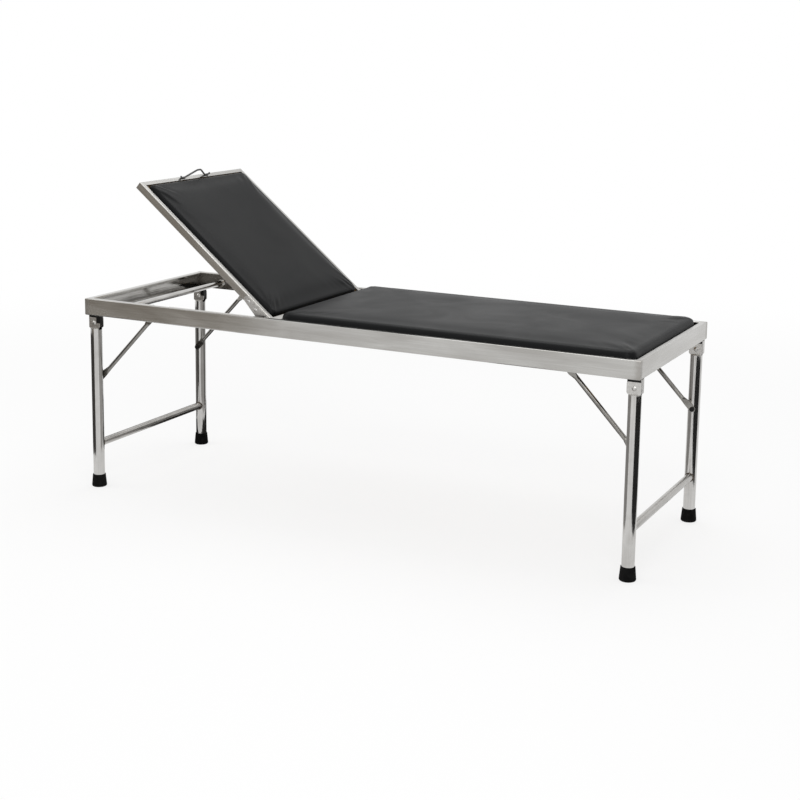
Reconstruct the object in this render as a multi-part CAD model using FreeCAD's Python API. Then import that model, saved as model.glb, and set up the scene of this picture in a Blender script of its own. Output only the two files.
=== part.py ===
import FreeCAD, Part
import math
import os

# Stainless steel examination table with an adjustable backrest and two pairs of folding legs.
# Millimetres. X runs from the head end to the foot end, Y from the near side to the far side, Z up.
# The origin is on the floor under the middle of the table.
# Distances named "from the end" and "from the side" are measured inwards from the frame's outer faces.

# Top frame of folded sheet
length = 1900.0
width = 666.0
height = 643.0
rail_depth = 55.0
rail_sheet = 1.5
rail_bend = 3.0
lip_width = 20.0
lip_return = 9.0
flange_width = 18.0
notch_from_end = 263.0
notch_length = 62.0
notch_depth = 8.0
notch_corner = 3.0

# Round legs, their cross braces and rubber ferrules
leg_diameter = 38.0
leg_wall = 1.5
leg_from_end = 22.0
leg_from_side = 28.5
cap_thickness = 2.5
brace_diameter = 25.0
brace_wall = 1.2
brace_height = 147.5
ferrule_height = 42.0
ferrule_floor = 6.0
ferrule_bottom_diameter = 50.6
ferrule_top_diameter = 42.6
ferrule_corner = 5.0
ferrule_fit = 0.1

# Fold joint at the top of each leg: a fork on the leg turns on a rivet through a lug on the frame
pivot_drop = 28.0
bracket_plate_thickness = 3.0
bracket_plate_length = 57.0
bracket_plate_width = 47.0
bracket_plate_setback = 3.2
lug_below_pivot = 9.0
lug_corner = 5.0
fork_width = 44.0
fork_depth = 22.0
fork_sheet = 2.5
fork_bend = 3.0
fork_below_pivot = 18.0
fork_cheek_above_pivot = 18.4
fork_low_corner = 8.0
fork_high_corner = 5.0
fork_notch_from_axis = 8.7
fork_notch_corner = 2.0
fork_top_clearance = 0.5
swing_clearance = 0.5
stop_clearance = 0.2
side_clearance = 0.3
rivet_diameter = 8.0
rivet_head_diameter = 14.0
rivet_head_height = 2.6
running_clearance = 0.05

# Diagonal stays and the slotted guides that their upper ends run in
stay_diameter = 14.0
stay_end_width = 20.0
stay_end_thickness = 3.0
stay_end_length = 26.0
stay_press_length = 20.0
stay_bolt_below_pivot = 190.0
stay_top_from_end = 236.0
stay_top_below_frame = 47.0
stay_head_diameter = 14.0
stay_head_height = 4.0
bolt_diameter = 8.0
bolt_cap_diameter = 15.0
bolt_cap_height = 6.0
bolt_cap_corner = 2.0
guide_sheet = 2.5
guide_bend = 3.0
guide_below_slot = 9.5
guide_end_margin = 10.0
slot_clearance = 0.4
guide_gap = 0.5

# Seat: cross members, board and pad
member_width = 40.0
member_sheet = 1.5
member_end_clearance = 0.2
hinge_member_from_head = 706.0
foot_member_from_foot = 135.0
guide_member_clearance = 14.0
deck_top_below_frame = 33.0
board_thickness = 12.0
seat_from_head = 721.0
seat_clearance = 3.0
seat_corner = 35.0
seat_pad_rise = 21.0
pad_seat_gap = 0.3
seat_pad_edge = 18.0

# Backrest, built lying flat and then raised about its hinge
backrest_angle = 39.0
backrest_side_gap = 15.0
backrest_above_hinge = 629.0
backrest_below_hinge = 15.0
backrest_depth = 25.0
backrest_sheet = 1.2
backrest_bend = 2.4
backrest_lip = 16.0
backrest_flange = 10.0
backrest_board_clearance = 0.3
backrest_pad_clearance = 1.5
backrest_pad_rise = 15.0
backrest_pad_corner = 24.0
backrest_pad_edge = 12.0
hinge_from_head = 678.0
hinge_drop = 22.0

# Self-locking hinges beside the backrest
leaf_thickness = 3.0
leaf_gap = 0.3
housing_thickness = 7.0
housing_radius = 20.0
moving_leaf_radius = 18.0
leaf_arm_length = 100.0
leaf_arm_radius = 10.0
leaf_foot_height = 20.0
leaf_foot_setback = 20.0
leaf_first_rivet = 55.0
leaf_rivet_pitch = 35.0
leaf_rivet_diameter = 6.0
leaf_rivet_head_diameter = 10.0
leaf_rivet_head_height = 2.0
hinge_pin_diameter = 10.0
hinge_pin_head_diameter = 16.0
hinge_pin_head_height = 2.5

# Bar that the lowered backrest rests on, and the backrest's handle
rest_bar_from_head = 100.0
rest_bar_diameter = 19.0
rest_bar_wall = 1.5
rest_gap = 0.3
collar_diameter = 28.0
collar_thickness = 4.0
handle_rod = 6.0
handle_span = 170.0
handle_foot = 26.0
handle_height = 34.0
handle_top_length = 20.0
handle_bend = 12.0
handle_top_bend = 24.0
handle_seat = 0.3
handle_hook_length = 6.0
handle_hook_rise = 6.0
handle_hook_bend = 5.0

# How far a cutting shape reaches past the faces that it cuts
cut_margin = 2.0

half_length = length / 2
half_width = width / 2
rail_bottom = height - rail_depth
leg_radius = leg_diameter / 2
leg_x = -half_length + leg_from_end
leg_y = -half_width + leg_from_side
pivot_z = rail_bottom - pivot_drop
deck_top = height - deck_top_below_frame
stay_y = leg_y + leg_radius + side_clearance
hinge_x = -half_length + hinge_from_head
hinge_z = height - hinge_drop
backrest_width = width - 2 * (lip_width + backrest_side_gap)
backrest_side = -backrest_width / 2
leaf_rivet_places = (leaf_first_rivet, leaf_first_rivet + leaf_rivet_pitch)

X_AXIS = FreeCAD.Vector(1, 0, 0)
Y_AXIS = FreeCAD.Vector(0, 1, 0)
Z_AXIS = FreeCAD.Vector(0, 0, 1)
CENTRE = FreeCAD.Vector(0, 0, 0)


def on_xy(u, v):
    return FreeCAD.Vector(u, v, 0)


def on_xz(u, v):
    return FreeCAD.Vector(u, 0, v)


def on_yz(u, v):
    return FreeCAD.Vector(0, u, v)


def rounded_edges(points, radii, closed):
    """Straight edges through the points, with a tangent arc at each corner that has a radius."""
    count = len(points)
    corners = []
    for i, point in enumerate(points):
        radius = radii[i]
        if radius == 0 or (not closed and i in (0, count - 1)):
            corners.append((point, None, point))
            continue
        back = points[i - 1].sub(point)
        ahead = points[(i + 1) % count].sub(point)
        back.normalize()
        ahead.normalize()
        half = back.getAngle(ahead) / 2
        cut = radius / math.tan(half)
        middle = back.add(ahead)
        middle.normalize()
        start = point.add(back * cut)
        end = point.add(ahead * cut)
        crown = point.add(middle * (radius / math.sin(half) - radius))
        corners.append((start, crown, end))
    edges = []
    for i, (start, crown, end) in enumerate(corners):
        if crown is not None:
            edges.append(Part.Arc(start, crown, end).toShape())
        if i == count - 1 and not closed:
            break
        following = corners[(i + 1) % count][0]
        if end.distanceToPoint(following) > 1e-6:
            edges.append(Part.LineSegment(end, following).toShape())
    return edges


def plate(points, radii, plane, thickness):
    """A flat plate with rounded corners, drawn on a plane and thickened along the vector."""
    if not isinstance(radii, (list, tuple)):
        radii = [radii] * len(points)
    corners = [plane(u, v) for u, v in points]
    outline = Part.Wire(rounded_edges(corners, radii, True))
    return Part.Face(outline).extrude(thickness)


def folded(points, sheet, bend, plane, run):
    """Bent sheet: an open line on its outer face, thickened to the line's left, run along the vector."""
    inner = []
    for i, (u, v) in enumerate(points):
        normals = []
        for a, b in ((i - 1, i), (i, i + 1)):
            if a < 0 or b >= len(points):
                continue
            du = points[b][0] - points[a][0]
            dv = points[b][1] - points[a][1]
            size = math.hypot(du, dv)
            normals.append((-dv / size, du / size))
        step_u = sum(n[0] for n in normals)
        step_v = sum(n[1] for n in normals)
        if len(normals) == 2:
            share = 1 + normals[0][0] * normals[1][0] + normals[0][1] * normals[1][1]
            step_u /= share
            step_v /= share
        inner.append((u + sheet * step_u, v + sheet * step_v))
    outline = list(points) + inner[::-1]
    bends = len(points) - 2
    radii = [0] + [bend] * bends + [0, 0] + [bend - sheet] * bends + [0]
    return plate(outline, radii, plane, run)


def rod(start, direction, diameter, span):
    return Part.makeCylinder(diameter / 2, span, start, direction)


def tube(start, direction, diameter, wall, span):
    bore = rod(start, direction, diameter - 2 * wall, span)
    return rod(start, direction, diameter, span).cut(bore)


def disc(x, y, z, radius, thickness):
    """A round plate across Y whose near face is at y."""
    return Part.makeCylinder(radius, thickness, FreeCAD.Vector(x, y, z), Y_AXIS)


def block(low, high):
    size = [b - a for a, b in zip(low, high)]
    return Part.makeBox(*size, FreeCAD.Vector(*low))


def moved(shape, x, y, z):
    copy = shape.copy()
    copy.translate(FreeCAD.Vector(x, y, z))
    return copy


def turned(shape, centre, axis, angle):
    copy = shape.copy()
    copy.rotate(centre, axis, angle)
    return copy


def at_end(shape, end):
    """The head end's shape, or its mirror image at the foot end."""
    return shape if end == "head" else shape.mirror(CENTRE, X_AXIS)


def on_side(shape, side):
    """The near side's shape, or its mirror image on the far side."""
    return shape if side == "near" else shape.mirror(CENTRE, Y_AXIS)


def mitred_rail(run, section, sheet, bend, reach):
    """A folded rail along X with 45 degree ends, its outer face on y = 0 and its top on z = 0."""
    rail = moved(folded(section, sheet, bend, on_yz, X_AXIS * run), -run / 2, 0, 0)
    depth = max(-v for _, v in section)
    half = run / 2
    corners = [(-half, 0), (half, 0), (half - reach, reach), (-half + reach, reach)]
    ends = plate(corners, 0, on_xy, Z_AXIS * (depth + 2 * cut_margin))
    ends = moved(ends, 0, 0, -depth - cut_margin)
    return rail.common(ends)


# Top frame: each rail has a top lip with a turned-down edge, a deep web and a bottom flange
frame_section = [
    (flange_width, -rail_depth),
    (0, -rail_depth),
    (0, 0),
    (lip_width, 0),
    (lip_width, -lip_return),
]


def frame_section_for_fold():
    """The outer line is walked so that the sheet's thickness grows into the channel."""
    return frame_section[::-1]


def side_rail(side):
    rail = mitred_rail(length, frame_section_for_fold(), rail_sheet, rail_bend, lip_width + cut_margin)
    first = -half_length + notch_from_end
    last = first + notch_length
    edge = lip_width - notch_depth
    past = lip_width + cut_margin
    outline = [(first, edge), (last, edge), (last, past), (first, past)]
    corners = [notch_corner, notch_corner, 0, 0]
    notch = plate(outline, corners, on_xy, Z_AXIS * (lip_return + 2 * cut_margin))
    rail = rail.cut(moved(notch, 0, 0, -lip_return - cut_margin))
    return on_side(moved(rail, 0, -half_width, height), side)


def end_rail(end):
    rail = mitred_rail(width, frame_section_for_fold(), rail_sheet, rail_bend, lip_width + cut_margin)
    rail = turned(rail, CENTRE, Z_AXIS, -90)
    return at_end(moved(rail, -half_length, 0, height), end)


# Cross members: inverted channels between the webs, standing on the bottom flanges
def cross_member(from_head):
    low = rail_bottom + rail_sheet - deck_top
    section = [(0, low), (0, 0), (member_width, 0), (member_width, low)]
    run = width - 2 * (rail_bend + member_end_clearance)
    member = folded(section[::-1], member_sheet, rail_bend, on_xz, Y_AXIS * run)
    return moved(member, -half_length + from_head, -run / 2, deck_top)


# Seat: a board on the cross members and a padded top between the lips
def seat_outline():
    near = -half_width + lip_width + seat_clearance
    head = -half_length + seat_from_head
    foot = half_length - lip_width - seat_clearance
    return [(head, near), (foot, near), (foot, -near), (head, -near)]


def seat_board():
    board = plate(seat_outline(), seat_corner, on_xy, Z_AXIS * board_thickness)
    return moved(board, 0, 0, deck_top)


def soften(pad, top, radius):
    """Rounds the edge round a pad's upper face."""
    rim = [e for e in pad.Edges if all(abs(v.Z - top) < 1e-6 for v in e.Vertexes)]
    return pad.makeFillet(radius, rim)


def seat_pad():
    bottom = deck_top + board_thickness + pad_seat_gap
    top = height + seat_pad_rise
    pad = plate(seat_outline(), seat_corner, on_xy, Z_AXIS * (top - bottom))
    return soften(moved(pad, 0, 0, bottom), top, seat_pad_edge)


# Rest bar: a tube across the head end, with a collar at each web
rest_bar_x = -half_length + rest_bar_from_head
rest_bar_z = height - backrest_depth - rest_gap - rest_bar_diameter / 2


def rest_bar():
    run = width - 2 * rail_sheet
    start = FreeCAD.Vector(rest_bar_x, -run / 2, rest_bar_z)
    return tube(start, Y_AXIS, rest_bar_diameter, rest_bar_wall, run)


def rest_bar_collars():
    start = FreeCAD.Vector(rest_bar_x, -half_width + rail_sheet, rest_bar_z)
    wall = (collar_diameter - rest_bar_diameter) / 2
    collar = tube(start, Y_AXIS, collar_diameter, wall, collar_thickness)
    return Part.makeCompound([on_side(collar, side) for side in ("near", "far")])


# Leg bracket: a plate on the frame's corner flanges, and under it a lug that the leg's fork turns on
fork_web_inside = fork_width / 2 - fork_sheet
lug_thickness = fork_depth - 2 * fork_sheet - 2 * side_clearance
lug_reach = fork_width / 2 - side_clearance
lug_stop = fork_web_inside - stop_clearance
lug_swing = fork_web_inside - swing_clearance


def leg_bracket(end, side):
    base_z = rail_bottom + rail_sheet
    low = (-half_length + bracket_plate_setback, -half_width + bracket_plate_setback, base_z)
    size = (bracket_plate_length, bracket_plate_width, bracket_plate_thickness)
    bracket = block(low, [a + b for a, b in zip(low, size)])
    past_flange = -half_length + flange_width + side_clearance - leg_x
    outline = [
        (-lug_stop, 0),
        (-lug_swing, 0),
        (-lug_swing, -lug_below_pivot),
        (lug_reach, -lug_below_pivot),
        (lug_reach, base_z - pivot_z),
        (past_flange, base_z - pivot_z),
        (past_flange, pivot_drop),
        (-lug_stop, pivot_drop),
    ]
    lug = plate(outline, [0, 0, 0, lug_corner, 0, 0, 0, 0], on_xz, Y_AXIS * lug_thickness)
    swept = disc(0, 0, 0, lug_swing, lug_thickness)
    inner = block((0, 0, -lug_below_pivot), (lug_reach, lug_thickness, pivot_drop))
    upper = block((-lug_stop, 0, 0), (lug_reach, lug_thickness, base_z - pivot_z))
    lug = lug.common(swept.fuse([inner, upper]))
    lug = lug.cut(disc(0, 0, 0, rivet_diameter / 2 + running_clearance, lug_thickness))
    lug = moved(lug, leg_x, leg_y - lug_thickness / 2, pivot_z)
    return on_side(at_end(bracket.fuse(lug).removeSplitter(), end), side)


# Leg frame: two tubes with forks at the top and ferrules at the floor, joined by a brace
def leg_fork(end, side):
    """The same fork at every corner: the foot end's are the head end's, turned about."""
    half = fork_width / 2
    depth = fork_depth / 2
    section = [(half, -depth), (-half, -depth), (-half, depth), (half, depth)]
    low = -fork_below_pivot
    high = pivot_drop - fork_top_clearance
    channel = folded(section[::-1], fork_sheet, fork_bend, on_xy, Z_AXIS * (high - low))
    channel = moved(channel, 0, 0, low)
    web = -fork_web_inside + stop_clearance / 2
    cheek = fork_cheek_above_pivot
    notch = fork_notch_from_axis
    web_side = [(web, cheek), (web, high), (-half, high), (-half, low), (half, low)]
    full = plate(
        [*web_side, (half, cheek)],
        [0, 0, 0, fork_low_corner, fork_low_corner, fork_high_corner],
        on_xz,
        Y_AXIS * depth,
    )
    notched = plate(
        [*web_side, (half, 0), (notch, 0), (notch, cheek)],
        [0, 0, 0, fork_low_corner, fork_low_corner, *[fork_notch_corner] * 3],
        on_xz,
        Y_AXIS * depth,
    )
    channel = channel.common(full.fuse(moved(notched, 0, -depth, 0)))
    channel = channel.cut(disc(0, -depth, 0, rivet_diameter / 2, fork_depth))
    place_y = leg_y if side == "near" else -leg_y
    if end == "foot":
        channel = turned(channel, CENTRE, Z_AXIS, 180)
    return moved(channel, leg_x if end == "head" else -leg_x, place_y, pivot_z)


def dome(radius, rise, direction):
    """A domed head on the face y = 0, bulging towards direction along Y."""
    ball = (radius ** 2 + rise ** 2) / (2 * rise)
    half = math.asin(radius / ball) / 2
    crown = on_xy(0, direction * rise)
    shoulder = on_xy(ball * math.sin(half), direction * (rise - ball + ball * math.cos(half)))
    rim = on_xy(radius, 0)
    curve = Part.Arc(crown, shoulder, rim).toShape()
    base = Part.makePolygon([rim, CENTRE, crown])
    return Part.Face(Part.Wire([curve] + base.Edges)).revolve(CENTRE, Y_AXIS, 360)


def rivet(diameter, head_diameter, head_height, grip):
    """A rivet along Y whose grip starts at y = 0, with a domed head at each end."""
    near = dome(head_diameter / 2, head_height, -1)
    far = moved(dome(head_diameter / 2, head_height, 1), 0, grip, 0)
    return disc(0, 0, 0, diameter / 2, grip).fuse([near, far]).removeSplitter()


def pivot_rivets(end):
    pin = rivet(rivet_diameter, rivet_head_diameter, rivet_head_height, fork_depth)
    pin = moved(pin, leg_x, leg_y - fork_depth / 2, pivot_z)
    return Part.makeCompound([on_side(at_end(pin, end), side) for side in ("near", "far")])


leg_top = pivot_z - fork_below_pivot - cap_thickness
stay_bolt_z = pivot_z - stay_bolt_below_pivot


def lug_slot():
    """Room between the cheeks for the lug's nose, which turns into the leg's top as the leg folds."""
    corner = math.hypot(lug_reach - lug_corner, lug_below_pivot - lug_corner) + lug_corner
    outer = leg_x - lug_below_pivot - swing_clearance
    side = fork_depth / 2 - fork_sheet
    low = (outer, leg_y - side, pivot_z - corner - swing_clearance)
    return block(low, (leg_x + leg_radius + cut_margin, leg_y + side, pivot_z))


def leg_caps(end):
    cap = rod(FreeCAD.Vector(leg_x, leg_y, leg_top), Z_AXIS, leg_diameter, cap_thickness)
    cap = cap.cut(lug_slot())
    return Part.makeCompound([on_side(at_end(cap, end), side) for side in ("near", "far")])


def leg(end, side):
    start = FreeCAD.Vector(leg_x, leg_y, ferrule_floor)
    post = tube(start, Z_AXIS, leg_diameter, leg_wall, leg_top - ferrule_floor)
    post = post.cut(disc(leg_x, leg_y, stay_bolt_z, bolt_diameter / 2, leg_radius + 1))
    return on_side(at_end(post.cut(lug_slot()), end), side)


def brace(end):
    start = FreeCAD.Vector(leg_x, leg_y, brace_height)
    bar = tube(start, Y_AXIS, brace_diameter, brace_wall, -2 * leg_y)
    for y in (leg_y, -leg_y):
        foot = FreeCAD.Vector(leg_x, y, brace_height - brace_diameter)
        bar = bar.cut(rod(foot, Z_AXIS, leg_diameter, 2 * brace_diameter))
    return at_end(bar, end)


def ferrule(end, side):
    bottom = ferrule_bottom_diameter / 2
    top = ferrule_top_diameter / 2
    bore = leg_radius + ferrule_fit
    points = [
        (0, 0),
        (bottom, 0),
        (top, ferrule_height),
        (bore, ferrule_height),
        (bore, ferrule_floor),
        (0, ferrule_floor),
    ]
    corners = [on_xz(u, v) for u, v in points]
    radii = [0, ferrule_corner, 1.0, 0, 0, 0]
    outline = Part.Wire(rounded_edges(corners, radii, True))
    shoe = Part.Face(outline).revolve(CENTRE, Z_AXIS, 360)
    return on_side(at_end(moved(shoe, leg_x, leg_y, 0), end), side)


# Bolt that the stay's lower end turns on, with a round black cap
def stay_bolts(end):
    inside = leg_y + leg_radius - 2 * leg_wall
    cap_face = stay_y + stay_end_thickness + side_clearance
    bolt = disc(leg_x, inside, stay_bolt_z, bolt_diameter / 2, cap_face - inside)
    cap = disc(leg_x, cap_face, stay_bolt_z, bolt_cap_diameter / 2, bolt_cap_height)
    rim = [e for e in cap.Edges if abs(e.CenterOfMass.y - cap_face - bolt_cap_height) < 1e-6]
    bolt = bolt.fuse(cap.makeFillet(bolt_cap_corner, rim))
    return Part.makeCompound([on_side(at_end(bolt, end), side) for side in ("near", "far")])


# Diagonal stay: a tube with pressed flat ends, the lower on the leg's bolt, the upper at the guide
stay_rise = (height - stay_top_below_frame) - stay_bolt_z
stay_reach = stay_top_from_end - leg_from_end
stay_length = math.hypot(stay_rise, stay_reach)
stay_slope = math.degrees(math.atan2(stay_rise, stay_reach))


def pressed_end():
    """The stay's flat end at the origin, and its change to the round tube, along X."""
    half = stay_end_width / 2
    past = stay_end_length
    strap = block((0, 0, -half), (past, stay_end_thickness, half))
    strap = strap.fuse(disc(0, 0, 0, half, stay_end_thickness))
    corners = [(0, -half), (stay_end_thickness, -half), (stay_end_thickness, half), (0, half)]
    flat = [FreeCAD.Vector(past, y, z) for y, z in corners]
    flat_wire = Part.makePolygon(flat + flat[:1])
    radius = stay_diameter / 2
    arcs = []
    for quarter in range(4):
        points = []
        for share in (0, 0.5, 1):
            angle = math.radians(225 + 90 * (quarter + share))
            y = radius + radius * math.cos(angle)
            z = radius * math.sin(angle)
            points.append(FreeCAD.Vector(past + stay_press_length, y, z))
        arcs.append(Part.Arc(*points).toShape())
    change = Part.makeLoft([flat_wire, Part.Wire(arcs)], True, True)
    return strap.fuse(change)


def stay(end, side):
    shoulder = stay_end_length + stay_press_length
    radius = stay_diameter / 2
    start = FreeCAD.Vector(shoulder, radius, 0)
    body = rod(start, X_AXIS, stay_diameter, stay_length - 2 * shoulder)
    low_end = pressed_end()
    bore = bolt_diameter / 2 + running_clearance
    low_end = low_end.cut(disc(0, 0, 0, bore, stay_end_thickness))
    high_end = moved(pressed_end().mirror(CENTRE, X_AXIS), stay_length, 0, 0)
    stud = dome(stay_head_diameter / 2, stay_head_height, 1)
    stud = moved(stud, stay_length, stay_end_thickness, 0)
    piece = body.fuse([low_end, high_end, stud]).removeSplitter()
    piece = turned(piece, CENTRE, Y_AXIS, -stay_slope)
    return on_side(at_end(moved(piece, leg_x, stay_y, stay_bolt_z), end), side)


# Guide: an angle under the frame whose slot the stay's upper end runs along as the legs fold
slot_z = height - stay_top_below_frame
folded_drop = slot_z - pivot_z
folded_reach = math.sqrt(stay_length ** 2 - folded_drop ** 2)
slot_end_from_end = leg_from_end + stay_bolt_below_pivot + folded_reach
slot_half = bolt_diameter / 2 + slot_clearance
guide_margin = slot_half + guide_end_margin


def stay_guide(end, side):
    first = -half_length + stay_top_from_end
    last = -half_length + slot_end_from_end
    face = stay_y - guide_gap
    web = -half_width + rail_sheet
    low = slot_z - guide_below_slot
    section = [(web, deck_top), (face, deck_top), (face, low)]
    run = last - first + 2 * guide_margin
    guide = folded(section[::-1], guide_sheet, guide_bend, on_yz, X_AXIS * run)
    guide = moved(guide, first - guide_margin, 0, 0)
    outline = [
        (first - slot_half, -slot_half),
        (last + slot_half, -slot_half),
        (last + slot_half, slot_half),
        (first - slot_half, slot_half),
    ]
    slot = plate(outline, slot_half * 0.999, on_xz, Y_AXIS * (3 * guide_sheet))
    guide = guide.cut(moved(slot, 0, face - 2 * guide_sheet, slot_z))
    return on_side(at_end(guide, end), side)


# Self-locking hinge: the fixed leaf carries the round housing, the moving leaf holds the backrest
moving_leaf_y = backrest_side - leaf_thickness
fixed_leaf_y = moving_leaf_y - leaf_gap - leaf_thickness
housing_y = moving_leaf_y - leaf_gap - housing_thickness


def fixed_leaf(side):
    member = -half_length + hinge_member_from_head - hinge_x
    foot_low = rail_bottom + rail_sheet - hinge_z
    foot_high = foot_low + leaf_foot_height
    inner = housing_radius * math.sqrt(0.5)
    outline = [
        (-inner, -inner),
        (member - leaf_foot_setback, foot_low),
        (member, foot_low),
        (member, foot_high),
        (inner, inner),
        (-inner, inner),
    ]
    leaf = plate(outline, 0, on_xz, Y_AXIS * leaf_thickness)
    leaf = moved(leaf, hinge_x, fixed_leaf_y, hinge_z)
    leaf = leaf.fuse(disc(hinge_x, housing_y, hinge_z, housing_radius, housing_thickness))
    bore = hinge_pin_diameter / 2 + running_clearance
    leaf = leaf.cut(disc(hinge_x, housing_y, hinge_z, bore, housing_thickness))
    return on_side(leaf.removeSplitter(), side)


leaf_arm_rise = hinge_drop - backrest_depth / 2
leaf_arm_slope = math.atan2(leaf_arm_rise, leaf_arm_length)


def along_arm(distance):
    """A place on the moving leaf's centre line, with the backrest lying flat."""
    x = hinge_x - distance * math.cos(leaf_arm_slope)
    z = hinge_z + distance * math.sin(leaf_arm_slope)
    return x, z


def raised(shape):
    """A backrest piece built lying flat, turned up about the hinge."""
    centre = FreeCAD.Vector(hinge_x, 0, hinge_z)
    return turned(shape, centre, Y_AXIS, backrest_angle)


def moving_leaf(side):
    outer = leaf_arm_length / math.cos(leaf_arm_slope)
    lean = math.asin((moving_leaf_radius - leaf_arm_radius) / outer)
    outline = []
    for centre_at, radius, signs in ((0, moving_leaf_radius, (-1, 1)), (outer, leaf_arm_radius, (1, -1))):
        for sign in signs:
            u = centre_at + radius * math.sin(lean)
            outline.append((u, sign * radius * math.cos(lean)))
    arm = plate(outline, 0, on_xz, Y_AXIS * leaf_thickness)
    arm = arm.fuse(disc(0, 0, 0, moving_leaf_radius, leaf_thickness))
    arm = arm.fuse(disc(outer, 0, 0, leaf_arm_radius, leaf_thickness))
    arm = arm.cut(disc(0, 0, 0, hinge_pin_diameter / 2, leaf_thickness))
    for place in leaf_rivet_places:
        arm = arm.cut(disc(place, 0, 0, leaf_rivet_diameter / 2, leaf_thickness))
    arm = turned(arm, CENTRE, Y_AXIS, -180 + math.degrees(leaf_arm_slope))
    arm = moved(arm, hinge_x, moving_leaf_y, hinge_z)
    return on_side(raised(arm.removeSplitter()), side)


def hinge_pins():
    end_y = housing_y - hinge_pin_head_height
    head = disc(hinge_x, end_y, hinge_z, hinge_pin_head_diameter / 2, hinge_pin_head_height)
    pin = disc(hinge_x, housing_y, hinge_z, hinge_pin_diameter / 2, backrest_side - housing_y)
    pin = raised(head.fuse(pin))
    return Part.makeCompound([on_side(pin, side) for side in ("near", "far")])


def leaf_rivets():
    grip = leaf_thickness + backrest_sheet
    rivets = []
    for place in leaf_rivet_places:
        x, z = along_arm(place)
        pin = rivet(leaf_rivet_diameter, leaf_rivet_head_diameter, leaf_rivet_head_height, grip)
        pin = raised(moved(pin, x, moving_leaf_y, z))
        rivets += [on_side(pin, side) for side in ("near", "far")]
    return Part.makeCompound(rivets)


# Backrest: four mitred rails round a board, and a thin pad through the opening between the lips
backrest_head = hinge_x - backrest_above_hinge
backrest_foot = hinge_x + backrest_below_hinge
backrest_section = [
    (backrest_flange, -backrest_depth),
    (0, -backrest_depth),
    (0, 0),
    (backrest_lip, 0),
][::-1]


def backrest_rail(run):
    return mitred_rail(run, backrest_section, backrest_sheet, backrest_bend, backrest_lip + cut_margin)


def backrest_side_rail(side):
    rail = backrest_rail(backrest_foot - backrest_head)
    rail = moved(rail, (backrest_head + backrest_foot) / 2, backrest_side, height)
    for place in leaf_rivet_places:
        x, z = along_arm(place)
        rail = rail.cut(disc(x, backrest_side, z, leaf_rivet_diameter / 2, backrest_sheet))
    return on_side(raised(rail), side)


def backrest_top_rail():
    rail = turned(backrest_rail(backrest_width), CENTRE, Z_AXIS, -90)
    return raised(moved(rail, backrest_head, 0, height))


def backrest_bottom_rail():
    rail = turned(backrest_rail(backrest_width), CENTRE, Z_AXIS, 90)
    return raised(moved(rail, backrest_foot, 0, height))


def backrest_board():
    inset = backrest_sheet + leaf_rivet_head_height + backrest_board_clearance
    low = (backrest_head + inset, backrest_side + inset, height - backrest_depth + backrest_sheet)
    high = (backrest_foot - inset, -backrest_side - inset, low[2] + board_thickness)
    return raised(block(low, high))


def backrest_pad():
    inset = backrest_lip + backrest_pad_clearance
    bottom = height - backrest_depth + backrest_sheet + board_thickness + pad_seat_gap
    top = height + backrest_pad_rise
    head = backrest_head + inset
    foot = backrest_foot - inset
    near = backrest_side + inset
    outline = [(head, near), (foot, near), (foot, -near), (head, -near)]
    pad = plate(outline, backrest_pad_corner, on_xy, Z_AXIS * (top - bottom))
    return raised(soften(moved(pad, 0, 0, bottom), top, backrest_pad_edge))


# Handle: a bent rod whose feet lie on the top rail's lip and turn up at their ends
def backrest_handle():
    x = backrest_head + backrest_lip / 2
    lie = handle_rod / 2 - handle_seat
    end = handle_span / 2
    hook = end - handle_hook_length
    foot = end - handle_foot
    rise = handle_height - handle_rod / 2
    top = handle_top_length / 2
    half = [(end, lie + handle_hook_rise), (hook, lie), (foot, lie), (top, rise)]
    bends = [0, handle_hook_bend, handle_bend, handle_top_bend]
    corners = [on_yz(-u, v) for u, v in half] + [on_yz(u, v) for u, v in half[::-1]]
    path = Part.Wire(rounded_edges(corners, bends + bends[::-1], False))
    ring = Part.Wire(Part.makeCircle(handle_rod / 2, corners[0], corners[1].sub(corners[0])))
    bent = path.makePipeShell([ring], True, False)
    below = block((-handle_rod, -end - 1, -handle_rod), (handle_rod, end + 1, 0))
    bent = bent.cut(below)
    return raised(moved(bent, x, 0, height))


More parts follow.
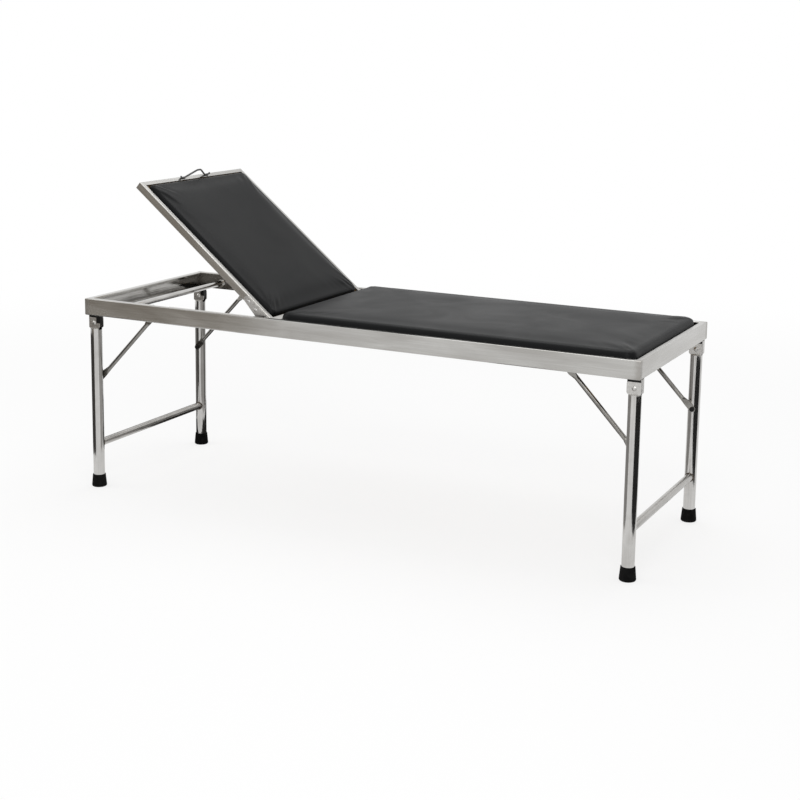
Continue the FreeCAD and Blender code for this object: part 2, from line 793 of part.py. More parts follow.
def build():
    parts = {
        "head_rail": end_rail("head"),
        "foot_rail": end_rail("foot"),
        "rest_bar": rest_bar(),
        "rest_bar_collars": rest_bar_collars(),
        "hinge_cross_member": cross_member(hinge_member_from_head),
        "seat_board": seat_board(),
        "seat_pad": seat_pad(),
        "backrest_top_rail": backrest_top_rail(),
        "backrest_bottom_rail": backrest_bottom_rail(),
        "backrest_board": backrest_board(),
        "backrest_pad": backrest_pad(),
        "backrest_handle": backrest_handle(),
        "hinge_pins": hinge_pins(),
        "leaf_rivets": leaf_rivets(),
    }
    guide_member = length - slot_end_from_end - guide_margin - guide_member_clearance - member_width
    middle_member = (hinge_member_from_head + guide_member) / 2
    foot_member = length - foot_member_from_foot - member_width
    for number, place in enumerate((middle_member, guide_member, foot_member), 1):
        parts[f"deck_cross_member_{number}"] = cross_member(place)
    for side in ("near", "far"):
        parts[f"side_rail_{side}"] = side_rail(side)
        parts[f"backrest_side_rail_{side}"] = backrest_side_rail(side)
        parts[f"hinge_fixed_leaf_{side}"] = fixed_leaf(side)
        parts[f"hinge_moving_leaf_{side}"] = moving_leaf(side)
    for end in ("head", "foot"):
        parts[f"leg_brace_{end}"] = brace(end)
        parts[f"leg_caps_{end}"] = leg_caps(end)
        parts[f"pivot_rivets_{end}"] = pivot_rivets(end)
        parts[f"stay_bolts_{end}"] = stay_bolts(end)
        for side in ("near", "far"):
            parts[f"leg_{end}_{side}"] = leg(end, side)
            parts[f"leg_fork_{end}_{side}"] = leg_fork(end, side)
            parts[f"leg_bracket_{end}_{side}"] = leg_bracket(end, side)
            parts[f"ferrule_{end}_{side}"] = ferrule(end, side)
            parts[f"stay_{end}_{side}"] = stay(end, side)
            parts[f"stay_guide_{end}_{side}"] = stay_guide(end, side)
    return parts


os.makedirs("parts", exist_ok=True)
for name, shape in build().items():
    shape.exportStep(f"parts/{name}.step")
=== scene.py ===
import math

import bpy
from mathutils import Matrix, Vector


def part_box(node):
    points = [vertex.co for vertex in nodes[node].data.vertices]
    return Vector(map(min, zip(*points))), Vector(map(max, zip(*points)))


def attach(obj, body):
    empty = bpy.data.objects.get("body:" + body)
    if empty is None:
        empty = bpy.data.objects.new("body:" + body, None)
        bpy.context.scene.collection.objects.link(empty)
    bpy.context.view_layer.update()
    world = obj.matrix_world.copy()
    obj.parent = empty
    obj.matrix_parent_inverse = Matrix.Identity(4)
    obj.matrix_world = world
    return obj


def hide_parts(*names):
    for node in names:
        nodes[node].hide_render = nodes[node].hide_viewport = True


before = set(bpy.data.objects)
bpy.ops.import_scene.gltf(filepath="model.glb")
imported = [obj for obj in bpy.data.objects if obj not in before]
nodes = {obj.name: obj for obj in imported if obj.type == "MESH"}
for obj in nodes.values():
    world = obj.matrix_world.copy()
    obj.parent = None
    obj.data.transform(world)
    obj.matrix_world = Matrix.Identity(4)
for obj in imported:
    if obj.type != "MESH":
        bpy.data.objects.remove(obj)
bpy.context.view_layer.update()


# The view: the table photographed from its foot end and a little above. The lens sits at standing
# chest height. A part of its downward look is a shift and not a tilt, as with a shifted lens.
focal_pixels = 1533.2
picture_pixels = 800
shift_pixels = -100
camera = bpy.data.objects.new("camera", bpy.data.cameras.new("camera"))
bpy.context.scene.collection.objects.link(camera)
bpy.context.scene.camera = camera
camera.data.sensor_width = 36.0
camera.data.lens = focal_pixels / picture_pixels * camera.data.sensor_width
camera.data.shift_y = shift_pixels / picture_pixels
camera.location = (2.196, -4.304, 1.540)
yaw, pitch, roll = (math.radians(a) for a in (26.59, 10.15, 0.82))
forward = Vector((-math.sin(yaw) * math.cos(pitch), math.cos(yaw) * math.cos(pitch), -math.sin(pitch)))
level = Vector((math.cos(yaw), math.sin(yaw), 0))
right = level * math.cos(roll) + level.cross(forward) * math.sin(roll)
up = right.cross(forward)
camera.rotation_euler = Matrix((right, up, -forward)).transposed().to_euler()


# The studio: a pale seamless floor and white surroundings, lit by large soft panels from above.
# Grey boards stand beyond the left front, low flags stand close to the legs, and a dark cloth lies
# behind the head end. Only mirror images show them: they give polished steel its darker bands.
def linear(colour):
    """An sRGB hex colour as the linear values that a shader takes."""
    parts = [int(colour[i:i + 2], 16) / 255 for i in (1, 3, 5)]
    return tuple(c / 12.92 if c <= 0.04045 else ((c + 0.055) / 1.055) ** 2.4 for c in parts) + (1.0,)


def add(tree, kind, inputs=(), **settings):
    """Adds a node with its settings. Each input takes a value or another node's output."""
    node = tree.nodes.new(kind)
    for name, value in settings.items():
        setattr(node, name, value)
    for socket, source in dict(inputs).items():
        if isinstance(source, bpy.types.NodeSocket):
            tree.links.new(source, node.inputs[socket])
        else:
            node.inputs[socket].default_value = source
    return node


def cleared(owner):
    """An owner's node tree, switched on and emptied."""
    owner.use_nodes = True
    owner.node_tree.nodes.clear()
    return owner.node_tree


def seen_directly(tree):
    """1 where a camera, mirror or glass ray arrives, and 0 for the light that falls on the object."""
    path = add(tree, "ShaderNodeLightPath").outputs
    either = add(tree, "ShaderNodeMath", {0: path["Is Camera Ray"], 1: path["Is Glossy Ray"]},
                 operation="MAXIMUM")
    any_ray = add(tree, "ShaderNodeMath", {0: either.outputs[0], 1: path["Is Transmission Ray"]},
                  operation="MAXIMUM")
    return any_ray.outputs[0]


world = bpy.data.worlds.new("studio")
bpy.context.scene.world = world
tree = cleared(world)
lit = add(tree, "ShaderNodeBackground", {"Color": linear("#e8e8e8"), "Strength": 0.75})
white = add(tree, "ShaderNodeBackground", {"Color": linear("#ffffff"), "Strength": 1.0})
sky = add(tree, "ShaderNodeMixShader", {0: seen_directly(tree), 1: lit.outputs[0], 2: white.outputs[0]})
add(tree, "ShaderNodeOutputWorld", {"Surface": sky.outputs[0]})

bpy.ops.mesh.primitive_plane_add(size=40, location=(0, 0, 0))
floor = bpy.context.object
floor.name = "floor"
floor_paint = bpy.data.materials.new("pale_matt_floor")
tree = cleared(floor_paint)
matt = add(tree, "ShaderNodeBsdfDiffuse", {"Color": linear("#f4f4f4")})
glow = add(tree, "ShaderNodeEmission", {"Color": linear("#ffffff"), "Strength": 1.0})
# The floor keeps a soft shadow within a metre of its middle, and is quite white 4.5 m out.
place = add(tree, "ShaderNodeTexCoord").outputs["Object"]
out = add(tree, "ShaderNodeVectorMath", {0: place}, operation="LENGTH")
fade = add(tree, "ShaderNodeMapRange", {"Value": out.outputs["Value"], "From Min": 1.0, "From Max": 4.5,
                                        "To Min": 0.76, "To Max": 1.0}, interpolation_type="SMOOTHSTEP")
share = add(tree, "ShaderNodeMath", {0: seen_directly(tree), 1: fade.outputs[0]}, operation="MULTIPLY")
paint = add(tree, "ShaderNodeMixShader", {0: share.outputs[0], 1: matt.outputs[0], 2: glow.outputs[0]})
add(tree, "ShaderNodeOutputMaterial", {"Surface": paint.outputs[0]})
floor.data.materials.append(floor_paint)

for name, place, aim, size, power in (
        ("key_panel", (1.5, -3.2, 3.4), (0, 0, 0.5), 2.4, 60),
        ("fill_panel", (-3.6, -1.5, 2.4), (-0.3, 0, 0.6), 2.0, 25),
        ("top_panel", (0, 1.0, 3.6), (0, 0, 0.5), 2.6, 40)):
    panel = bpy.data.lights.new(name, "AREA")
    panel.shape = "SQUARE"
    panel.size = size
    panel.energy = power
    lamp = bpy.data.objects.new(name, panel)
    bpy.context.scene.collection.objects.link(lamp)
    lamp.location = place
    lamp.rotation_euler = (Vector(aim) - Vector(place)).to_track_quat("-Z", "Y").to_euler()

above_floor = 0.002
for name, start, end, rise, colour in (
        ("low_flag_right", (1.35, -0.82), (1.35, 0.42), (0, 0, 0.45), "#303030"),
        ("low_flag_middle_right", (0.45, -0.72), (0.45, 0.40), (0, 0, 0.46), "#9a9896"),
        ("low_flag_middle_left", (-0.45, -0.43), (-0.45, 0.4), (0, 0, 0.46), "#b0aeac"),
        ("low_flag_middle_back", (-0.45, 0.4), (-0.45, 1.0), (0, 0, 0.46), "#6e6c6a"),
        ("low_flag_front_left", (-1.05, -0.72), (-1.32, -0.5), (0, 0, 0.445), "#4a4846"),
        ("low_flag_left", (-1.32, -0.5), (-1.32, -0.05), (0, 0, 0.445), "#4a4846"),
        ("low_flag_back_left", (-1.32, -0.05), (-1.32, 0.9), (0, 0, 0.445), "#7c7a78"),
        ("grey_board_front_left", (-2.7, -1.9), (-1.32, -2.03), (0, 0, 1.5), "#a39c93"),
        ("grey_board_left", (-2.7, -1.9), (-2.7, -0.9), (0, 0, 1.5), "#6f6b66"),
        ("dark_cloth_behind", (-1.3, 0.15), (-0.55, 0.15), (0, 0.8, 0), "#2e2d2c")):
    bpy.ops.mesh.primitive_plane_add(size=1)
    board = bpy.context.object
    board.name = name
    first, second, rise = Vector((*start, above_floor)), Vector((*end, above_floor)), Vector(rise)
    for vertex, corner in zip(board.data.vertices, (first, second, first + rise, second + rise)):
        vertex.co = corner
    board_paint = bpy.data.materials.new(name + "_paint")
    tree = cleared(board_paint)
    dull = add(tree, "ShaderNodeEmission", {"Color": linear(colour), "Strength": 1.0})
    add(tree, "ShaderNodeOutputMaterial", {"Surface": dull.outputs[0]})
    board.data.materials.append(board_paint)
    board.visible_camera = board.visible_diffuse = board.visible_shadow = False
    board.visible_transmission = board.visible_volume_scatter = False


# Top frame: rails folded from 1.5 mm polished stainless sheet, mitred and welded at the corners.
# Polished sheet mirrors its surroundings softly, with faint rolling marks along it and clouds from
# the mop, and each corner has a duller, tanned patch where its weld was ground flush.
def wear(material, *names):
    """Gives CAD pieces their material."""
    for name in names:
        slots = nodes[name].data.materials
        slots.clear()
        slots.append(material)


def called(*starts):
    """The names of the CAD pieces that begin with one of these words."""
    return [name for name in nodes if name.startswith(starts)]


def started(name, sockets=()):
    """A new material, its node tree, its principled shader and the object's coordinates."""
    material = bpy.data.materials.new(name)
    tree = cleared(material)
    shader = add(tree, "ShaderNodeBsdfPrincipled", sockets)
    add(tree, "ShaderNodeOutputMaterial", {"Surface": shader.outputs[0]})
    return material, tree, shader, add(tree, "ShaderNodeTexCoord").outputs["Object"]


def cells(*millimetres):
    """A pattern's scale along each axis, from the size of one of its cells in millimetres."""
    return tuple(1000 / size for size in millimetres)


def polished_sheet(name, mark_mm, cloud_mm, low, high, rough=0.18, slope=0.0, inner=(0, 0, 0)):
    """Polished stainless sheet with rolling marks and clouds drawn out along its length.

    The real marks are finer than 1 mm. They are drawn 4 mm wide, so that the picture can show them.
    Inner is half the size of the folded channel inside its sheet, on the three axes; inside it the colour is
    darkened as painted shade.
    """
    material, tree, shader, place = started(name, {"Metallic": 1.0})
    level = add(tree, "ShaderNodeMapping", {"Vector": place, "Rotation": (0, -slope, 0)}).outputs[0]
    marks_at = add(tree, "ShaderNodeMapping", {"Vector": level, "Scale": cells(*mark_mm)})
    marks = add(tree, "ShaderNodeTexNoise", {"Vector": marks_at.outputs[0], "Scale": 1.0, "Detail": 3.0})
    clouds_at = add(tree, "ShaderNodeMapping", {"Vector": level, "Scale": cells(*cloud_mm)})
    clouds = add(tree, "ShaderNodeTexNoise", {"Vector": clouds_at.outputs[0], "Scale": 1.0, "Detail": 4.0,
                                              "Distortion": 0.4})
    both = add(tree, "ShaderNodeMix", {0: 0.25, 2: clouds.outputs[0], 3: marks.outputs[0]})
    tone = add(tree, "ShaderNodeMapRange", {"Value": both.outputs[0], "From Min": 0.35, "From Max": 0.65})
    colour = add(tree, "ShaderNodeMix", {0: tone.outputs[0], 6: linear(low), 7: linear(high)},
                 data_type="RGBA")
    # The ground patch fades out 14 to 36 mm from the corner's seam, and a ragged edge takes up to
    # 22 mm of that.
    corner_seam, ragged_edge, patch_core, patch_end = (0.95, 0.333, 0), 0.022, 0.014, 0.036
    quarter = add(tree, "ShaderNodeVectorMath", {0: place}, operation="ABSOLUTE")
    off = add(tree, "ShaderNodeVectorMath", {0: quarter.outputs[0], 1: corner_seam}, operation="SUBTRACT")
    flat = add(tree, "ShaderNodeVectorMath", {0: off.outputs[0], 1: (1, 1, 0)}, operation="MULTIPLY")
    away = add(tree, "ShaderNodeVectorMath", {0: flat.outputs[0]}, operation="LENGTH")
    ragged = add(tree, "ShaderNodeTexNoise", {"Vector": place, "Scale": 1000 / 14, "Detail": 3.0})
    reach = add(tree, "ShaderNodeMath", {0: ragged.outputs[0], 1: ragged_edge, 2: away.outputs["Value"]},
                operation="MULTIPLY_ADD")
    ground = add(tree, "ShaderNodeMapRange", {"Value": reach.outputs[0],
                                              "From Min": patch_core, "From Max": patch_end,
                                              "To Min": 0.5, "To Max": 0.0}, interpolation_type="SMOOTHSTEP")
    tanned = add(tree, "ShaderNodeMix", {0: ground.outputs[0], 6: colour.outputs[2], 7: linear("#8b8680")},
                 data_type="RGBA")
    # Inside the folded channel the sheet is painted darker: painted shade for the hollow under the lip.
    channel_middle = (0, 0, 0.6155)
    middle = add(tree, "ShaderNodeVectorMath", {0: place, 1: channel_middle}, operation="SUBTRACT")
    half = add(tree, "ShaderNodeVectorMath", {0: middle.outputs[0]}, operation="ABSOLUTE")
    beyond = add(tree, "ShaderNodeVectorMath", {0: half.outputs[0], 1: inner}, operation="SUBTRACT")
    sides = add(tree, "ShaderNodeSeparateXYZ", {0: beyond.outputs[0]}).outputs
    outermost = add(tree, "ShaderNodeMath", {0: sides[0], 1: sides[1]}, operation="MAXIMUM")
    outermost = add(tree, "ShaderNodeMath", {0: outermost.outputs[0], 1: sides[2]}, operation="MAXIMUM")
    inside = add(tree, "ShaderNodeMath", {0: outermost.outputs[0], 1: 0.0}, operation="LESS_THAN")
    inside_shaded = add(tree, "ShaderNodeMix", {0: inside.outputs[0], 6: tanned.outputs[2], 7: linear("#7a7773")},
                  data_type="RGBA")
    tree.links.new(inside_shaded.outputs[2], shader.inputs["Base Color"])
    gloss = add(tree, "ShaderNodeMapRange", {"Value": both.outputs[0], "From Min": 0.3, "From Max": 0.7,
                                             "To Min": rough, "To Max": rough + 0.1})
    dulled = add(tree, "ShaderNodeMath", {0: ground.outputs[0], 1: 0.3, 2: gloss.outputs[0]},
                 operation="MULTIPLY_ADD")
    tree.links.new(dulled.outputs[0], shader.inputs["Roughness"])
    # The sheet isn't quite flat: its waves are about 110 mm long and eight times as deep as its marks.
    waves = add(tree, "ShaderNodeTexNoise", {"Vector": place, "Scale": 1000 / 110, "Detail": 1.0})
    relief = add(tree, "ShaderNodeMath", {0: waves.outputs[0], 1: 8.0, 2: marks.outputs[0]},
                 operation="MULTIPLY_ADD")
    bump = add(tree, "ShaderNodeBump", {"Height": relief.outputs[0], "Strength": 0.2, "Distance": 0.0004})
    tree.links.new(bump.outputs[0], shader.inputs["Normal"])
    return material


lengthways = ((200, 4, 4), (250, 42, 42))
crossways = ((4, 200, 4), (42, 250, 42))
sheet_tones = ("#a7a5a1", "#bebdba")
rail_steel = polished_sheet("polished_stainless_sheet_lengthways", *lengthways, *sheet_tones,
                            inner=(0.9487, 0.3317, 0.0262))
end_steel = polished_sheet("polished_stainless_sheet_crossways", *crossways, *sheet_tones)
wear(rail_steel, "side_rail_near", "side_rail_far")
wear(end_steel, "foot_rail")
head_steel = polished_sheet("polished_stainless_sheet_head_end", *crossways, *sheet_tones, rough=0.07)
wear(head_steel, "head_rail")


# Rest bar: 19 mm polished stainless tube across the head end, welded into a collar at each web.
# Drawn tube is polished to a mirror, and keeps faint draw lines along its length.
def polished_tube(name, line_mm, low, high, rough):
    """Polished stainless tube with draw lines along it, drawn 3 mm wide where real ones are finer. Their
    light and dark streaks in the colour are partly draw lines and partly painted reflection of bands.
    """
    material, tree, shader, place = started(name, {"Metallic": 1.0})
    lines_at = add(tree, "ShaderNodeMapping", {"Vector": place, "Scale": cells(*line_mm)})
    lines = add(tree, "ShaderNodeTexNoise", {"Vector": lines_at.outputs[0], "Scale": 1.0, "Detail": 3.0})
    smears = add(tree, "ShaderNodeTexNoise", {"Vector": place, "Scale": 1000 / 60, "Detail": 4.0,
                                              "Distortion": 0.5})
    both = add(tree, "ShaderNodeMix", {0: 0.45, 2: smears.outputs[0], 3: lines.outputs[0]})
    tone = add(tree, "ShaderNodeMapRange", {"Value": both.outputs[0], "From Min": 0.35, "From Max": 0.65})
    colour = add(tree, "ShaderNodeMix", {0: tone.outputs[0], 6: linear(low), 7: linear(high)},
                 data_type="RGBA")
    tree.links.new(colour.outputs[2], shader.inputs["Base Color"])
    gloss = add(tree, "ShaderNodeMapRange", {"Value": both.outputs[0], "From Min": 0.3, "From Max": 0.7,
                                             "To Min": rough, "To Max": rough + 0.08})
    tree.links.new(gloss.outputs[0], shader.inputs["Roughness"])
    bump = add(tree, "ShaderNodeBump", {"Height": lines.outputs[0], "Strength": 0.2, "Distance": 0.0002})
    tree.links.new(bump.outputs[0], shader.inputs["Normal"])
    return material


tube_tones = ("#b4b2af", "#cccbc9")
bar_steel = polished_tube("polished_stainless_tube_crossways", (3, 200, 3), *tube_tones, 0.08)
wear(bar_steel, "rest_bar", "rest_bar_collars")


# Cross members: inverted channels of the same sheet, left with the mill's dull grey finish,
# because the seat hides them from above.
mill_steel = polished_sheet("mill_finish_stainless_sheet", (4, 200, 4), (42, 200, 42), "#8d8b88", "#a5a4a1")
wear(mill_steel, "hinge_cross_member", *called("deck_cross_member"))


# Seat board: 12 mm birch plywood, screwed down on the cross members and left bare.
# Its rotary-cut face shows broad wavering growth rings along the board, crossed by fine dark pores.
def plywood(name, slope=0.0):
    """Bare plywood whose rings and fibres run along a level or a sloping board."""
    material, tree, shader, place = started(name, {"Roughness": 0.62})
    level = add(tree, "ShaderNodeMapping", {"Vector": place, "Rotation": (0, -slope, 0)}).outputs[0]
    # The rings lie 10 to 40 mm apart, and the pores are drawn 2 mm wide, twice as wide as they are.
    rings_at = add(tree, "ShaderNodeMapping", {"Vector": level, "Scale": cells(770, 110, 110)})
    sweep = add(tree, "ShaderNodeTexNoise", {"Vector": rings_at.outputs[0], "Scale": 1.0, "Detail": 2.0,
                                             "Distortion": 0.5})
    turns = add(tree, "ShaderNodeMath", {0: sweep.outputs[0], 1: 70.0}, operation="MULTIPLY")
    rings = add(tree, "ShaderNodeMath", {0: turns.outputs[0]}, operation="SINE")
    ringed = add(tree, "ShaderNodeMapRange", {"Value": rings.outputs[0], "From Min": -1.0, "From Max": 1.0})
    pores_at = add(tree, "ShaderNodeMapping", {"Vector": level, "Scale": cells(70, 2, 2)})
    pores = add(tree, "ShaderNodeTexNoise", {"Vector": pores_at.outputs[0], "Scale": 1.0, "Detail": 3.0})
    mixed = add(tree, "ShaderNodeMix", {0: 0.55, 2: ringed.outputs[0], 3: pores.outputs[0]})
    tone = add(tree, "ShaderNodeMapRange", {"Value": mixed.outputs[0], "From Min": 0.2, "From Max": 0.8})
    colour = add(tree, "ShaderNodeMix", {0: tone.outputs[0], 6: linear("#9b8059"), 7: linear("#c4ab82")},
                 data_type="RGBA")
    tree.links.new(colour.outputs[2], shader.inputs["Base Color"])
    bump = add(tree, "ShaderNodeBump", {"Height": pores.outputs[0], "Strength": 0.25, "Distance": 0.0004})
    tree.links.new(bump.outputs[0], shader.inputs["Normal"])
    return material


wear(plywood("bare_birch_plywood_level"), "seat_board")


# Seat pad: a foam slab glued to the plywood and covered with black leatherette.
# The cover is pulled tight round the slab and stapled under the board, so the top is crowned,
# the edges roll over softly and the sides tuck in where they go down between the steel lips.
def leatherette(name):
    """Black coated cloth: an even satin black with a pebbled grain of about 1 mm, drawn as 2 mm."""
    material, tree, shader, place = started(name, {"Specular IOR Level": 0.11})
    pebbles = add(tree, "ShaderNodeTexVoronoi", {"Vector": place, "Scale": 1000 / 2}, feature="SMOOTH_F1")
    creases = add(tree, "ShaderNodeTexNoise", {"Vector": place, "Scale": 1000 / 6, "Detail": 4.0})
    hand = add(tree, "ShaderNodeTexNoise", {"Vector": place, "Scale": 1000 / 200, "Detail": 3.0,
                                            "Distortion": 0.6})
    tone = add(tree, "ShaderNodeMapRange", {"Value": hand.outputs[0], "From Min": 0.3, "From Max": 0.7})
    colour = add(tree, "ShaderNodeMix", {0: tone.outputs[0], 6: linear("#08090a"), 7: linear("#111213")},
                 data_type="RGBA")
    tree.links.new(colour.outputs[2], shader.inputs["Base Color"])
    gloss = add(tree, "ShaderNodeMapRange", {"Value": hand.outputs[0], "From Min": 0.3, "From Max": 0.7,
                                             "To Min": 0.39, "To Max": 0.50})
    tree.links.new(gloss.outputs[0], shader.inputs["Roughness"])
    relief = add(tree, "ShaderNodeMix", {0: 0.5, 2: pebbles.outputs["Distance"], 3: creases.outputs[0]})
    bump = add(tree, "ShaderNodeBump", {"Height": relief.outputs[0], "Strength": 0.35, "Distance": 0.0003})
    tree.links.new(bump.outputs[0], shader.inputs["Normal"])
    return material


def puffed(name, source, voxel, pull_in, swell, slope=0.0):
    """A copy of a pad's solid, remeshed, pulled in a little and blown up like a stuffed cover.

    A sloping pad is turned level first and back at the end, so that the mesh follows its edges.
    """
    merge_within, stapled_rows, settling_frames = 0.00001, 1.5, 20
    bpy.ops.object.select_all(action="DESELECT")
    piece = nodes[source].copy()
    piece.data = nodes[source].data.copy()
    piece.name = piece.data.name = name
    bpy.context.scene.collection.objects.link(piece)
    piece.select_set(True)
    bpy.context.view_layer.objects.active = piece
    bpy.ops.object.mode_set(mode="EDIT")
    bpy.ops.mesh.select_all(action="SELECT")
    bpy.ops.mesh.remove_doubles(threshold=merge_within)
    bpy.ops.transform.rotate(value=slope, orient_axis="Y", center_override=(0, 0, 0))
    bpy.ops.object.mode_set(mode="OBJECT")
    remesh = piece.modifiers.new("remesh", "REMESH")
    remesh.mode = "VOXEL"
    remesh.voxel_size = voxel
    tuck = piece.modifiers.new("tuck", "DISPLACE")
    tuck.mid_level = 0
    tuck.strength = -pull_in
    bpy.ops.object.modifier_apply(modifier="remesh")
    bpy.ops.object.modifier_apply(modifier="tuck")
    start = [v.co.copy() for v in piece.data.vertices]
    base = min(co.z for co in start)
    held = piece.vertex_groups.new(name="stapled")
    low = [i for i, co in enumerate(start) if co.z < base + stapled_rows * voxel]
    held.add(low, 1.0, "REPLACE")
    cloth = piece.modifiers.new("cover", "CLOTH")
    cloth.settings.quality = 4
    cloth.settings.vertex_group_mass = held.name
    cloth.settings.use_pressure = True
    cloth.settings.uniform_pressure_force = 4
    cloth.settings.effector_weights.gravity = 0
    for frame_number in range(1, settling_frames + 1):
        bpy.context.scene.frame_set(frame_number)
    bpy.ops.object.modifier_apply(modifier="cover")
    bpy.context.scene.frame_set(1)
    # A vertex that the pressure moved a long way keeps no more than the swell.
    for vertex, co in zip(piece.data.vertices, start):
        move = vertex.co - co
        if move.length > 0:
            vertex.co = co + move.normalized() * swell * math.tanh(move.length / swell)
    piece.vertex_groups.clear()
    smooth = piece.modifiers.new("smooth", "SUBSURF")
    smooth.levels = smooth.render_levels = 1
    bpy.ops.object.modifier_apply(modifier="smooth")
    bpy.ops.object.mode_set(mode="EDIT")
    bpy.ops.mesh.select_all(action="SELECT")
    bpy.ops.transform.rotate(value=-slope, orient_axis="Y", center_override=(0, 0, 0))
    bpy.ops.object.mode_set(mode="OBJECT")
    bpy.ops.object.shade_smooth()
    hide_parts(source)
    piece.data.materials.clear()
    piece.data.materials.append(cover_cloth)
    return piece


cover_cloth = leatherette("black_leatherette")
seat_cover = puffed("seat_cover", "seat_pad", voxel=0.008, pull_in=0.002, swell=0.0035)
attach(seat_cover, "frame")


# Backrest frame: four mitred rails folded from 1.2 mm stainless sheet round a plywood board, made like
# the top frame. Its marks run along the slope, so light breaks into fine lines along each rail.
lean = math.radians(39)
slope_steel = polished_sheet("polished_stainless_sheet_sloping", *lengthways, *sheet_tones, slope=lean)
wear(slope_steel, "backrest_side_rail_near", "backrest_side_rail_far")
wear(end_steel, "backrest_top_rail", "backrest_bottom_rail")
wear(plywood("bare_birch_plywood_sloping", slope=lean), "backrest_board")


# Backrest pad: the same foam and black cover as the seat's, thinner, glued to its board in the opening
# between the lips. The pull at its corners leaves shallow creases that point to them.
backrest_cover = puffed("backrest_cover", "backrest_pad", voxel=0.006, pull_in=0.002, swell=0.005, slope=lean)
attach(backrest_cover, "backrest")


# Handle: 6 mm round bar, bent and painted black, its two feet welded to the top rail's lip.
# The paint is worn to grey where hands hold the bend, in spots that are drawn 5.5 mm across.
black_paint, tree, shader, place = started("black_painted_rod", {"Roughness": 0.35})
worn = add(tree, "ShaderNodeTexNoise", {"Vector": place, "Scale": 1000 / 5.5, "Detail": 4.0})
tone = add(tree, "ShaderNodeMapRange", {"Value": worn.outputs[0], "From Min": 0.45, "From Max": 0.75})
colour = add(tree, "ShaderNodeMix", {0: tone.outputs[0], 6: linear("#2b2b2b"), 7: linear("#5c5b59")},
             data_type="RGBA")
tree.links.new(colour.outputs[2], shader.inputs["Base Color"])
bump = add(tree, "ShaderNodeBump", {"Height": worn.outputs[0], "Strength": 0.3, "Distance": 0.0002})
tree.links.new(bump.outputs[0], shader.inputs["Normal"])
wear(black_paint, "backrest_handle")


# Hinges beside the backrest: pressed steel leaves and a round housing, turned on a pin and riveted to
# the backrest. Bright zinc plating gives them a cooler, slightly mottled shine than the rails have.
def plated(name, low, high, rough):
    """Small bright fittings with a fine even scatter of scratches, drawn 4.5 mm long."""
    material, tree, shader, place = started(name, {"Metallic": 1.0})
    scuffs = add(tree, "ShaderNodeTexNoise", {"Vector": place, "Scale": 1000 / 4.5, "Detail": 5.0,
                                              "Distortion": 1.5})
    tone = add(tree, "ShaderNodeMapRange", {"Value": scuffs.outputs[0], "From Min": 0.35, "From Max": 0.65})
    colour = add(tree, "ShaderNodeMix", {0: tone.outputs[0], 6: linear(low), 7: linear(high)},
                 data_type="RGBA")
    tree.links.new(colour.outputs[2], shader.inputs["Base Color"])
    gloss = add(tree, "ShaderNodeMapRange", {"Value": scuffs.outputs[0], "From Min": 0.3, "From Max": 0.7,
                                             "To Min": rough, "To Max": rough + 0.14})
    tree.links.new(gloss.outputs[0], shader.inputs["Roughness"])
    bump = add(tree, "ShaderNodeBump", {"Height": scuffs.outputs[0], "Strength": 0.25, "Distance": 0.0002})
    tree.links.new(bump.outputs[0], shader.inputs["Normal"])
    return material


bright_fitting = plated("bright_zinc_plated_steel", "#a9a8a6", "#c9c8c6", 0.24)
wear(bright_fitting, *called("hinge_fixed_leaf", "hinge_moving_leaf", "hinge_pins", "leaf_rivets"))


# Leg brackets: steel plates with a lug each, welded under the frame's corners and enamelled black.
# The thick coat gives a faint orange peel, and in the frame's shadow the eye sees only black blocks.
black_enamel, tree, shader, place = started("black_enamelled_steel",
                                            {"Roughness": 0.4, "Specular IOR Level": 0.2})
peel = add(tree, "ShaderNodeTexNoise", {"Vector": place, "Scale": 1000 / 3.3, "Detail": 3.0})
colour = add(tree, "ShaderNodeMix", {0: peel.outputs[0], 6: linear("#0b0b0b"), 7: linear("#151515")},
             data_type="RGBA")
tree.links.new(colour.outputs[2], shader.inputs["Base Color"])
bump = add(tree, "ShaderNodeBump", {"Height": peel.outputs[0], "Strength": 0.3, "Distance": 0.0003})
tree.links.new(bump.outputs[0], shader.inputs["Normal"])
wear(black_enamel, *called("leg_bracket"))


# Leg forks: 2.5 mm stainless plate bent to a channel, welded on the leg's cap and riveted to the lug.
# The grinding wheel leaves them satin, lighter and more even than the mirror of the legs.
fork_steel = plated("satin_stainless_plate", "#b3b1ae", "#cccbc8", 0.28)
wear(fork_steel, *called("leg_fork", "pivot_rivets", "leg_caps"))


# Legs: 38 mm stainless tube with a 1.2 mm wall, drawn and then polished to a mirror along its length.
# The mirror wraps what stands round the table into dark and bright bands that run down the leg, and the
# streaks in the tube's colour add painted reflection of such bands.
leg_steel = polished_tube("polished_stainless_tube_upright", (3, 3, 200), *tube_tones, 0.07)
wear(leg_steel, *called("leg_head", "leg_foot"))


# Braces: 25 mm tube, cut to saddle the legs and welded to them. A belt leaves it satin, so it shows
# soft greys with no sharp mirror image.
brace_steel = polished_tube("satin_stainless_tube_crossways", (3, 200, 3), "#a3a19d", "#bab8b5", 0.24)
wear(brace_steel, *called("leg_brace"))


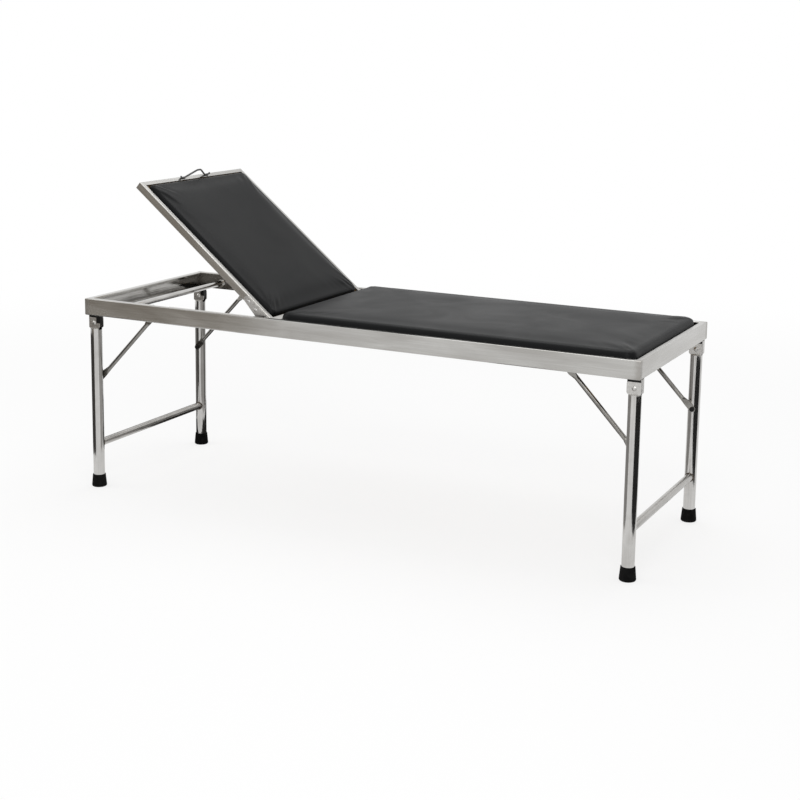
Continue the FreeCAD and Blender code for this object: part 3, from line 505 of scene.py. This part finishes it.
# Brace welds: a 4 mm bead of stainless filler runs round each end of a brace, where it saddles the leg.
# It is left as it was laid, so the heat has tinted it, and the eye sees a dull brown-grey ring.
weld_metal = plated("heat_tinted_weld_metal", "#4a443e", "#857c72", 0.38)
leg_radius = 0.019
bead_ring = 0.0133
bead_radius = 0.002
brace_low, brace_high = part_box("leg_brace_head")
brace_x, brace_z = (brace_low.x + brace_high.x) / 2, (brace_low.z + brace_high.z) / 2
leg_low, leg_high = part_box("leg_head_near")
leg_y = (leg_low.y + leg_high.y) / 2
bpy.ops.object.select_all(action="DESELECT")
bpy.ops.mesh.primitive_torus_add(location=(brace_x, leg_y + leg_radius, brace_z),
                                 rotation=(math.pi / 2, 0, 0),
                                 major_radius=bead_ring, minor_radius=bead_radius,
                                 major_segments=48, minor_segments=10)
first_bead = bpy.context.object
bpy.ops.object.transform_apply(location=True, rotation=True, scale=True)
# The ring is bent round the leg in steps: what lies further out sinks a little more towards its axis.
step_degrees, step_count, edge = 7.5, 12, 0.00001
steps = [bead_ring * math.sin(math.radians(step_degrees * k)) for k in range(step_count + 1)]
sunk = [leg_radius - math.sqrt(leg_radius ** 2 - s ** 2) for s in steps]
for near, (before, after) in zip(steps, zip(sunk, sunk[1:])):
    bpy.ops.object.mode_set(mode="EDIT")
    bpy.ops.mesh.select_all(action="DESELECT")
    bpy.ops.object.mode_set(mode="OBJECT")
    for vertex in first_bead.data.vertices:
        out, rise = abs(vertex.co.x - brace_x), abs(vertex.co.z - brace_z)
        vertex.select = out / math.hypot(out, rise) * bead_ring > near + edge
    bpy.ops.object.mode_set(mode="EDIT")
    bpy.ops.transform.translate(value=(0, before - after, 0))
bpy.ops.object.mode_set(mode="OBJECT")
for end, along in (("head", 0.0), ("foot", -2 * brace_x)):
    for side, half_turn in (("near", 0.0), ("far", math.pi)):
        bead = first_bead.copy()
        bead.data = first_bead.data.copy()
        bead.name = bead.data.name = f"brace_weld_{end}_{side}"
        bpy.context.scene.collection.objects.link(bead)
        bpy.ops.object.select_all(action="DESELECT")
        bead.select_set(True)
        bpy.context.view_layer.objects.active = bead
        bpy.ops.object.mode_set(mode="EDIT")
        bpy.ops.mesh.select_all(action="SELECT")
        bpy.ops.transform.rotate(value=half_turn, orient_axis="Z", center_override=(brace_x, 0, 0))
        bpy.ops.transform.translate(value=(along, 0, 0))
        bpy.ops.object.mode_set(mode="OBJECT")
        bpy.ops.object.shade_smooth()
        bead.data.materials.append(weld_metal)
        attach(bead, f"{end}_legs")
bpy.data.objects.remove(first_bead)


# Ferrules: tapered shoes moulded in black rubber and pushed over the tubes' lower ends.
# Rubber drinks the light: it shows as deep dull black, with a little dust in its pores, which are
# drawn 2 mm wide.
rubber, tree, shader, place = started("moulded_black_rubber", {"Roughness": 0.85, "Specular IOR Level": 0.12})
dust = add(tree, "ShaderNodeTexNoise", {"Vector": place, "Scale": 1000 / 17, "Detail": 5.0})
tone = add(tree, "ShaderNodeMapRange", {"Value": dust.outputs[0], "From Min": 0.4, "From Max": 0.75})
colour = add(tree, "ShaderNodeMix", {0: tone.outputs[0], 6: linear("#070707"), 7: linear("#141414")},
             data_type="RGBA")
tree.links.new(colour.outputs[2], shader.inputs["Base Color"])
pores = add(tree, "ShaderNodeTexNoise", {"Vector": place, "Scale": 1000 / 2, "Detail": 2.0})
bump = add(tree, "ShaderNodeBump", {"Height": pores.outputs[0], "Strength": 0.3, "Distance": 0.0003})
tree.links.new(bump.outputs[0], shader.inputs["Normal"])
wear(rubber, *called("ferrule"))


# Stays and guides: stays of satin stainless tube with both ends pressed flat, and slotted angles folded
# from plate and welded under the frame, on which the stays' upper bolts run. The bolts' caps are black.
stay_steel = polished_tube("satin_stainless_tube_sloping", (16, 3, 16), "#75726e", "#918f8b", 0.16)
wear(stay_steel, *called("stay_head", "stay_foot"))
wear(fork_steel, *called("stay_guide"))
wear(black_enamel, "stay_bolts_head", "stay_bolts_foot")


# The picture shows colours as they are lit.
bpy.context.scene.view_settings.view_transform = "Standard"
